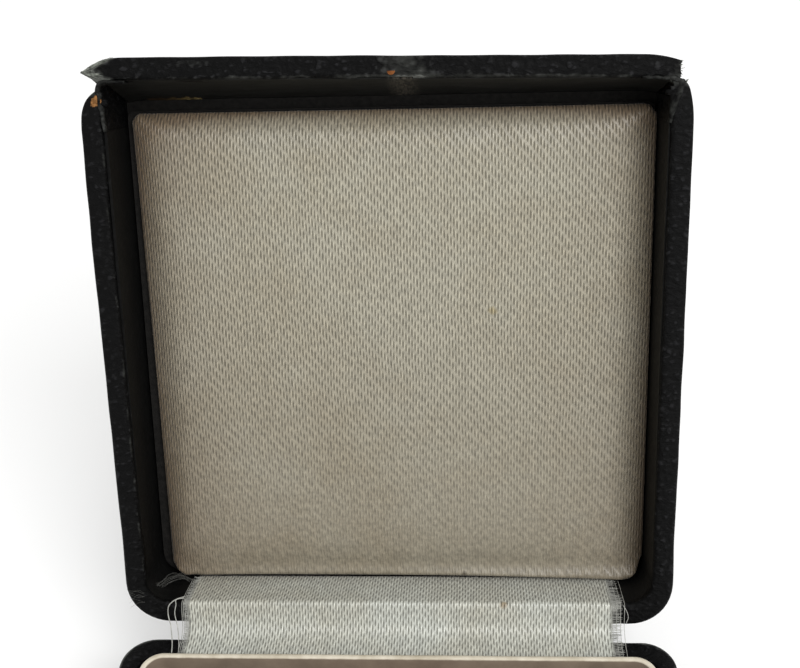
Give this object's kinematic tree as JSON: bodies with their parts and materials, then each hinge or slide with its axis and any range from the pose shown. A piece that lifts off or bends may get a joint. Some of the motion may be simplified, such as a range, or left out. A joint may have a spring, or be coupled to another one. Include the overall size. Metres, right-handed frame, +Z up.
{
  "type": "cased service medal",
  "caption": "Square leatherette presentation case, hinged by a satin ribbon, with a round service medal on its ribbon in a sunk bed and a satin pad in the lid.",
  "frame": {"origin": "centre of the case's underside, on the surface it rests on", "axes": "+X to the right seen from the case's front, +Y from the front towards the hinge, +Z up"},
  "size_m": [0.084, 0.1298, 0.0959],
  "materials": {
    "leatherette": "black grained leatherette, rubbed grey at edges",
    "pine": "raw softwood plank",
    "black_paper": "smooth black lining paper, slightly glossy",
    "grey_board": "grey pasteboard",
    "satin": "aged cream satin with long floats",
    "cream_card": "cream card, paper-covered inner face browned",
    "flock": "short matt flock",
    "bronze": "toned struck bronze",
    "brass": "dull brass",
    "steel": "spring steel strip",
    "drape": "ribbed medal ribbon with plain stripes"
  },
  "bodies": {
    "base": {"base_bottom_sheet": "black_paper", "base_floor_board": "pine", "base_front_wall": "pine", "base_left_wall": "pine", "base_right_wall": "pine", "base_rear_wall": "pine", "base_cover": "leatherette", "collar": "cream_card", "insert_board": "grey_board", "medal_bed": "flock", "button_escutcheon": "brass"},
    "lid": {"lid_left_wall": "pine", "lid_right_wall": "pine", "lid_rear_wall": "pine", "lid_front_wall": "pine", "lid_top_board": "pine", "lid_cover": "leatherette", "lid_front_cover": "leatherette", "lid_lining": "black_paper", "lid_front_lining": "black_paper", "lid_pad_board": "grey_board", "lid_pad": "satin", "strike_nail": "brass", "hinge_ribbon": "satin"},
    "medal": {"medal_disc": "bronze", "medal_lug": "bronze", "jump_ring": "brass", "medal_ribbon": "drape", "brooch_bar": "bronze"},
    "button": {"push_button": "brass"},
    "leaf": {"catch_leaf": "steel"}
  },
  "joints": [
    {"name": "lid_hinge", "type": "hinge", "parent": "base", "child": "lid", "pos_m": [0, 0.0437, 0.0153], "axis": [1, 0, 0], "range_deg": [0, 110], "deforming": ["hinge_ribbon"]},
    {"name": "medal_lift", "type": "slide", "parent": "base", "child": "medal", "axis": [0, 0, 1], "range_m": [0, 0.008]},
    {"name": "button_push", "type": "slide", "parent": "base", "child": "button", "axis": [0, 1, 0], "range_m": [0, 0.0006], "stiffness_N_per_m": 1500},
    {"name": "leaf_flex", "type": "hinge", "parent": "base", "child": "leaf", "pos_m": [0, -0.0382, 0.0049], "axis": [-1, 0, 0], "range_deg": [0, 7.5]}
  ],
  "couplings": [
    {"joint": "leaf_flex", "follows": "button_push", "rad_per_m": 217.39}
  ]
}
